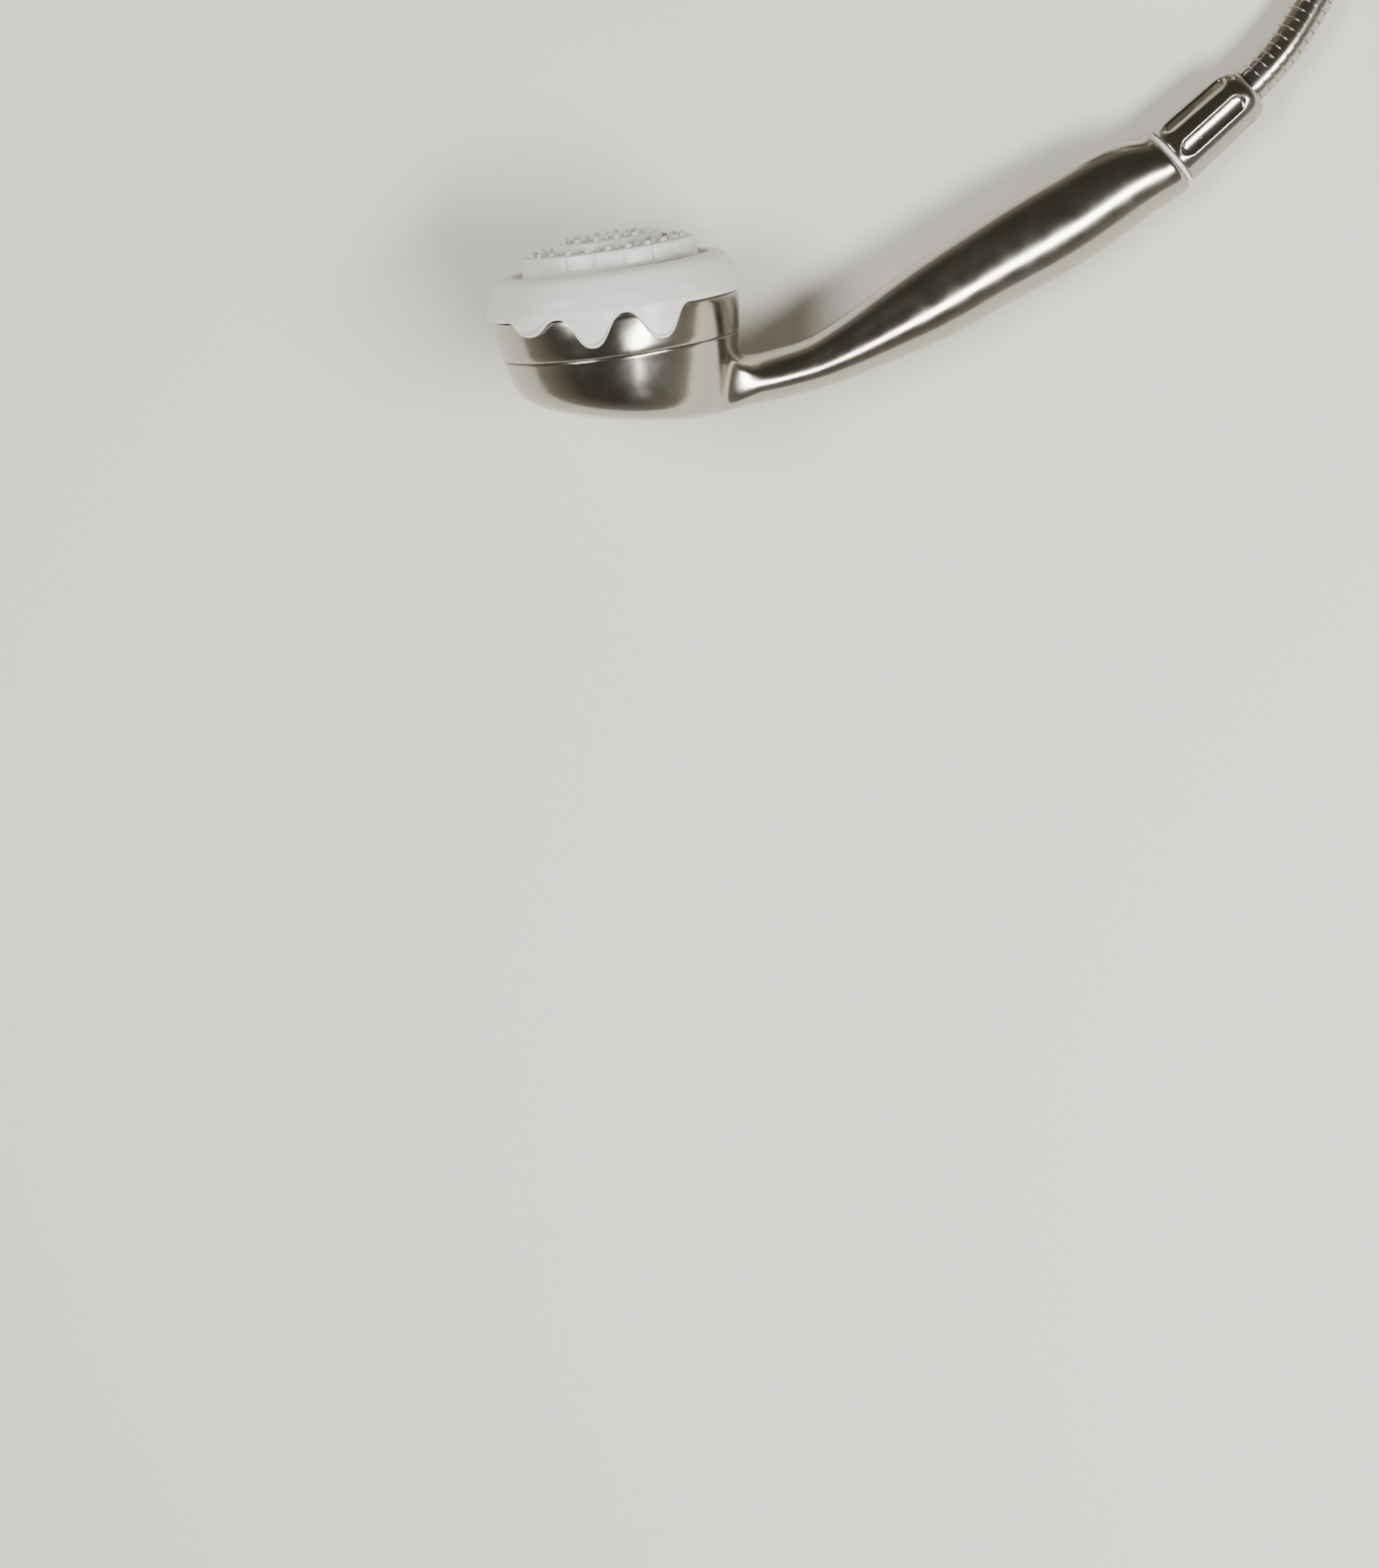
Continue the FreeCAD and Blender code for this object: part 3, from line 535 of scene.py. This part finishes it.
rounding = handset_skin.modifiers.new("rounding", "SUBSURF")
rounding.levels = 3
rounding.render_levels = 3
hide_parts("handset_shell")
print("handset cage faces", len(handset_skin.data.polygons))

# %% [markdown]
# ## The trim collar
#
# Between the bowl and the selector sits a narrow plated ring. The hairline between it and the bowl
# is what shows that the head comes apart, so both edges are rounded off to leave a fine groove.

# %% Trim collar
COLLAR = [(43.6, -14.4), (43.6, -17.2), (44.3, -17.5), (45.3, -17.6), (45.9, -17.35), (46.15, -16.8),
          (46.45, -14.5), (46.8, -12.0), (47.1, -9.5), (47.3, -7.0), (47.4, -4.5), (47.4, -2.6),
          (47.1, -2.1), (46.4, -1.9), (45.9, -2.4), (45.7, -7.0), (45.5, -12.8), (43.6, -12.8)]
bm = turned(COLLAR, 192)
bm.transform(HEAD)
collar = piece_from(bm, "trim_collar", "handset", chrome, smooth_angle=50.0)
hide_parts("chrome_collar")
print("collar faces", len(collar.data.polygons))

# %% [markdown]
# ## The selector ring
#
# This is the part that fingers turn. Its shoulder slopes in to the nozzle disc, and its skirt hangs
# over the collar with one group of three lobes for grip. The skirt's lower edge is thick and
# rounded, so it catches the light as a bright line.

# %% Selector ring
LOBE_DROP = 11.6                         # how far a full lobe hangs below the plain edge
LOBE_PITCH = 31.0                        # degrees between neighbouring lobes
LOBE_MIDDLE = -102.2                     # degrees from the handle to the middle lobe
LOBE_SHARES = {-1: 0.48, 0: 1.0, 1: 1.0}  # one lobe of the three is short
PLAIN_EDGE = -1.5
LOBE_ROUND = 0.55                        # fuller tips and wider valleys than a plain wave
GROUP_HALF = 1.5 * LOBE_PITCH
GRIP_DENT = 0.7                          # how far the wall is pressed in between lobes
GRIP_TOP = 8.0                           # the dent fades out up to this height
GRIP_FADE = 7.0                          # and over these degrees beyond the group
OUTER_WALL_R = 48.5                      # points further out than this are on the outer wall
SHOULDER = smooth_curve([(38.3, 13.7), (40.4, 13.8), (42.6, 13.3), (44.7, 11.9), (46.5, 8.9),
                         (48.4, 4.8), (49.7, 1.7)], 4) + [(50.2, 0.4)]
# radius, dish in a lobe's face, share of the way down to the rounded rim, drop below that
SKIRT = [(50.3, 0.0, 0.0, 0.0), (50.25, 0.1, 0.12, 0.0), (50.2, 0.4, 0.3, 0.0),
         (50.15, 0.85, 0.55, 0.0), (50.1, 1.3, 0.8, 0.0), (50.1, 1.45, 1.0, 0.0),
         (50.15, 0.25, 1.0, -0.2), (50.15, 0.0, 1.0, -0.7), (49.95, 0.0, 1.0, -1.15),
         (49.4, 0.0, 1.0, -1.35), (48.6, 0.0, 1.0, -1.3), (48.1, 0.0, 1.0, -1.0),
         (47.95, 0.0, 1.0, -0.4), (47.9, 0.0, 0.8, 0.0), (47.9, 0.0, 0.4, 0.0),
         (47.9, 0.0, 0.0, 0.0)]
RIM_DEPTH = 1.35
INSIDE = [(47.4, 3.4), (45.6, 5.0), (42.9, 3.0), (42.9, -5.0), (40.1, -5.0), (40.1, 9.6),
          (38.2, 9.6), (38.2, 13.4)]
SKIRT_MARK = -20.0                       # rows of the skirt are spun here first, one unit apart
RING_STEPS = 288


def lobe_share(degrees):
    """How far into a lobe an angle is (1 in its middle), the lobe's share of the full drop, and
    how many degrees outside the group the angle is."""
    off = (degrees - LOBE_MIDDLE + 180.0) % 360.0 - 180.0
    if abs(off) > GROUP_HALF:
        return 0.0, 0.0, abs(off) - GROUP_HALF
    wave = 0.5 + 0.5 * math.cos(2 * math.pi * off / LOBE_PITCH)
    rounder = LOBE_ROUND * ease(wave, 0.0, 1.0) + (1.0 - LOBE_ROUND) * wave
    return rounder, LOBE_SHARES[round(off / LOBE_PITCH)], 0.0


profile = SHOULDER + [(row[0], SKIRT_MARK - index) for index, row in enumerate(SKIRT)] + INSIDE
bm = turned(profile, RING_STEPS)
for vert in bm.verts:
    radius = math.hypot(vert.co.x, vert.co.y)
    degrees = math.degrees(math.atan2(vert.co.y, vert.co.x))
    share, drop_share, away = lobe_share(degrees)
    z = vert.co.z
    if z < SKIRT_MARK + 0.5:
        _, dish, down, below = SKIRT[round(SKIRT_MARK - z)]
        edge = PLAIN_EDGE - LOBE_DROP * drop_share * share
        z = down * (edge + RIM_DEPTH) + below
        radius -= dish * share
    if radius > OUTER_WALL_R and z < GRIP_TOP:
        lower = ease(GRIP_TOP - z, 0.0, GRIP_TOP)
        valley = (1.0 - share) * lower * (1.0 - ease(away, 0.0, GRIP_FADE))
        radius -= GRIP_DENT * valley
    angle = math.radians(degrees)
    vert.co = (radius * math.cos(angle), radius * math.sin(angle), z)
bm.transform(HEAD)
ring = piece_from(bm, "selector_grip", "face", pale_abs, smooth_angle=60.0)
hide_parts("selector_ring")
print("selector faces", len(ring.data.polygons))

# %% [markdown]
# ## The nozzle disc
#
# The spray plate is a stepped disc. Its lower tier is notched into blocks all round, and soft
# rubber nozzles poke through both tiers so that lime can be rubbed off.

# %% Nozzle disc
BLOCKS = 18
BLOCK_COLUMNS = 12
DISC = [(38.0, 9.8), (38.0, 12.0), (34.3, 12.1), (34.0, 14.7), (33.6, 15.1), (33.6, 17.4),
        (33.6, 19.6), (33.4, 20.2), (32.8, 20.5), (27.4, 20.5), (21.6, 20.5), (21.1, 20.7),
        (21.0, 21.2), (21.0, 22.9), (20.8, 23.4), (20.2, 23.7), (15.0, 23.7), (9.7, 23.7),
        (9.7, 21.2), (18.6, 21.2), (18.6, 18.0), (31.2, 18.0), (31.2, 9.8)]
NOTCH_DEPTH = 0.9
NOTCH_FOOT = 14.9                        # only the lower tier's rim above this is notched
RIM_INNER_R = 32.0
bm = turned(DISC, BLOCKS * BLOCK_COLUMNS)
for vert in bm.verts:
    radius = math.hypot(vert.co.x, vert.co.y)
    degrees = math.degrees(math.atan2(vert.co.y, vert.co.x))
    column = round(degrees * BLOCKS * BLOCK_COLUMNS / 360.0) % BLOCK_COLUMNS
    if vert.co.z > NOTCH_FOOT and radius > RIM_INNER_R and column == 0:
        vert.co.xy *= (radius - NOTCH_DEPTH) / radius
bm.transform(HEAD)
disc = piece_from(bm, "nozzle_disc", "face", pale_abs, smooth_angle=40.0)
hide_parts("face_plate")
print("disc faces", len(disc.data.polygons))

# %% [markdown]
# ## The tapered nut
#
# The hose's nut is a turned brass cone with six long thumb flutes, so that a wet hand can tighten
# it. It is spun with rows close enough together that the flutes can be pressed into the skin.

# %% Tapered nut
TAPER_FROM, TAPER_TO = 6.0, 34.2
WIDE_R, NARROW_R = 11.97, 11.22          # the taper's radius at each end
TAPER_ROWS = 64
NUT_LIP = smooth_curve([(11.3, 1.85), (11.75, 2.0), (11.98, 2.5), (12.0, 4.0),
                        (WIDE_R, TAPER_FROM)], 2)[:-1]
NUT_ROUND = smooth_curve([(NARROW_R, TAPER_TO), (11.05, 35.8), (10.6, 37.4), (9.8, 38.8),
                          (8.9, 39.7), (8.1, 40.1), (7.7, 40.1), (7.45, 39.8)], 3)
NUT_BORE = [(7.45, 36.6), (8.2, 35.6), (8.2, 17.4), (9.3, 17.4), (9.3, 13.4), (10.45, 13.4),
            (10.45, 1.85)]
NUT_STEPS = 264
SKIN_R = 10.9                            # points nearer the axis than this are in the bore
FLUTES = 6
FLUTE_PITCH = 360.0 / FLUTES
FLUTE_TURN = 30.0                        # degrees; brings one flute up, where a thumb finds it
FLUTE_FROM, FLUTE_TO = 8.4, 31.0         # centres of the round ends
FLUTE_ENDS = (4.0, 36.0)                 # nothing is pressed in outside these
FLUTE_HALF = 3.7
FLUTE_DEEP = 1.35
FLUTE_HOLLOW = 0.85                      # how much shallower a flute is at its sides
FLUTE_EDGE = (-0.2, 1.1)                 # the side slopes between these distances inside it

taper = [(WIDE_R + (NARROW_R - WIDE_R) * i / TAPER_ROWS,
          TAPER_FROM + (TAPER_TO - TAPER_FROM) * i / TAPER_ROWS) for i in range(TAPER_ROWS)]
bm = turned(NUT_LIP + taper + NUT_ROUND + NUT_BORE, NUT_STEPS)
for vert in bm.verts:
    radius = math.hypot(vert.co.x, vert.co.y)
    if radius < SKIN_R or not FLUTE_ENDS[0] < vert.co.z < FLUTE_ENDS[1]:
        continue
    degrees = math.degrees(math.atan2(vert.co.y, vert.co.x))
    off = (degrees - FLUTE_TURN + FLUTE_PITCH / 2) % FLUTE_PITCH - FLUTE_PITCH / 2
    across = math.radians(off) * radius
    beyond = max(FLUTE_FROM - vert.co.z, vert.co.z - FLUTE_TO, 0.0)
    inside = FLUTE_HALF - math.hypot(across, beyond)
    floor_shape = 1.0 - (across / FLUTE_HALF) ** 2 * FLUTE_HOLLOW
    hollow = FLUTE_DEEP * floor_shape * ease(inside, *FLUTE_EDGE)
    vert.co.xy *= (radius - hollow) / radius
bm.transform(INLET)
tapered_nut = piece_from(bm, "tapered_nut", "cone_nut", chrome, smooth_angle=55.0)
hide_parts("cone_nut")
print("nut faces", len(tapered_nut.data.polygons))

# %% [markdown]
# ## Materials of the parts that stay as they are
#
# The other parts already have the right shape, so each only gets its real finish: rubber seals,
# acetal inside, stainless springs and screws, and turned brass.

# %% Silicone, rubber and inner plastics
silicone, shader = new_material("moulded_silicone_rubber", Roughness=0.45, IOR=1.41)
shader.inputs["Base Color"].default_value = hex_colour("#DDDDD9")
shader.inputs["Subsurface Weight"].default_value = 0.35
shader.inputs["Subsurface Radius"].default_value = (0.0015, 0.0015, 0.0015)
shader.inputs["Subsurface Scale"].default_value = 1.0
place = add_node(silicone, "ShaderNodeTexCoord").outputs["Object"]
haze = add_node(silicone, "ShaderNodeTexNoise", {"Vector": place}, Scale=per_mm(2.0), Detail=2.0)
haze_range = add_node(silicone, "ShaderNodeMapRange", {"Value": haze.outputs["Fac"]},
                      To_Min=0.38, To_Max=0.55)
silicone.node_tree.links.new(haze_range.outputs["Result"], shader.inputs["Roughness"])


def grained(name, colour, size, rough, bump, **settings):
    """A material whose roughness and surface vary with a grain of a size in millimetres."""
    material, shader = new_material(name, **settings)
    shader.inputs["Base Color"].default_value = hex_colour(colour)
    place = add_node(material, "ShaderNodeTexCoord").outputs["Object"]
    grain = add_node(material, "ShaderNodeTexNoise", {"Vector": place}, Scale=per_mm(size), Detail=3.0)
    spread = add_node(material, "ShaderNodeMapRange", {"Value": grain.outputs["Fac"]},
                      From_Min=0.3, From_Max=0.7, To_Min=rough[0], To_Max=rough[1])
    material.node_tree.links.new(spread.outputs["Result"], shader.inputs["Roughness"])
    relief = add_node(material, "ShaderNodeBump", {"Height": grain.outputs["Fac"]},
                      Strength=bump, Distance=0.0001)
    material.node_tree.links.new(relief.outputs["Normal"], shader.inputs["Normal"])
    return material


rubber = grained("moulded_EPDM_rubber", "#1E1E1E", 0.5, (0.6, 0.8), 0.3)
acetal = grained("moulded_grey_acetal", "#8C9093", 0.8, (0.35, 0.5), 0.15, IOR=1.48)
spring_steel = grained("drawn_stainless_wire", "#B5B3AE", 0.4, (0.2, 0.35), 0.2, Metallic=1.0)
brass = grained("turned_brass", "#B89A5A", 0.6, (0.22, 0.35), 0.2, Metallic=1.0)
white_acetal = grained("moulded_white_acetal", "#E6E4DE", 0.8, (0.28, 0.4), 0.12, IOR=1.48)

# %% Give every kept node its finish
FINISHES = {
    chrome: ["crimp_sleeve", "wall_crimp_sleeve", "wall_nut"],
    pale_abs: ["massage_plate"],
    acetal: ["waterway_base", "distribution_disc", "chamber_plate", "turbine_cup", "turbine_wheel",
             "flow_regulator"],
    silicone: ["nozzle_mat"],
    rubber: ["base_oring", "port_seal", "face_oring", "regulator_oring", "hose_washer", "wall_washer"],
    spring_steel: ["seal_spring", "detent_spring", "detent_ball", "retaining_screw", "screw_washer",
                   "turbine_pin", "inlet_filter"],
    brass: ["hose_nipple", "wall_hose_nipple"],
    white_acetal: ["inlet_nipple"],
}
for material, names in FINISHES.items():
    for name in names:
        for material_slot in nodes[name].material_slots:
            material_slot.material = material
print("finished nodes", sum(len(names) for names in FINISHES.values()))

# %% [markdown]
# ## Studio
#
# Chrome shows nothing but what is around it. The room is pale near the floor and dark above. A long
# softbox on the near right gives the white streak along the handle. It is rolled so that it sits
# between what the bowl's wall sees and what the collar sees, which both stay quiet. A light on the
# left lifts the floor and the pale parts. The floor is plain pale paper.

# %% Room
world = bpy.data.worlds.new("studio")
world.use_nodes = True
sky = world.node_tree.nodes["Background"]
look = add_node(world, "ShaderNodeTexCoord").outputs["Generated"]
height = add_node(world, "ShaderNodeSeparateXYZ", {"Vector": look}).outputs["Z"]
walls = add_node(world, "ShaderNodeValToRGB", {"Fac": height})
horizon, overhead = walls.color_ramp.elements
horizon.position = 0.0
horizon.color = hex_colour("#A9A398")
overhead.position = 0.50
overhead.color = hex_colour("#524E47")
world.node_tree.links.new(walls.outputs["Color"], sky.inputs["Color"])
bpy.context.scene.world = world

FLOOR_RADIUS = 2.2                       # metres
FLOOR_SIDES = 128
bm = bmesh.new()
bmesh.ops.create_circle(bm, cap_ends=True, segments=FLOOR_SIDES, radius=FLOOR_RADIUS)
floor_mesh = bpy.data.meshes.new("floor")
bm.to_mesh(floor_mesh)
bm.free()
floor = bpy.data.objects.new("floor", floor_mesh)
bpy.context.scene.collection.objects.link(floor)
floor_paper, shader = new_material("matt_studio_paper", Roughness=0.9)
shader.inputs["Base Color"].default_value = hex_colour("#E9E5DC")
floor.data.materials.append(floor_paper)


# %% Lights
LIGHT_AIM = Vector((0.0, 0.0, 0.03))


def softbox(name, azimuth, elevation, distance, size, radiance, roll=0.0):
    """A rectangular light at an azimuth (0 on -Y, 90 on +X) and elevation from the aim point."""
    data = bpy.data.lights.new(name, "AREA")
    data.shape = "RECTANGLE"
    data.size, data.size_y = size
    data.energy = radiance * math.pi * size[0] * size[1]
    light = bpy.data.objects.new(name, data)
    bpy.context.scene.collection.objects.link(light)
    a, e = math.radians(azimuth), math.radians(elevation)
    away = Vector((math.sin(a) * math.cos(e), -math.cos(a) * math.cos(e), math.sin(e)))
    facing = (-away).to_track_quat("-Z", "Y").to_matrix().to_4x4()
    rolled = Matrix.Rotation(math.radians(roll), 4, "Z")
    light.matrix_world = Matrix.Translation(LIGHT_AIM + away * distance) @ (facing @ rolled)
    light.visible_camera = False


softbox("long_light", 58, 47, 1.5, (1.08, 0.33), 32.0, roll=-11)
softbox("side_light", -80, 60, 1.6, (0.9, 0.5), 16.0)
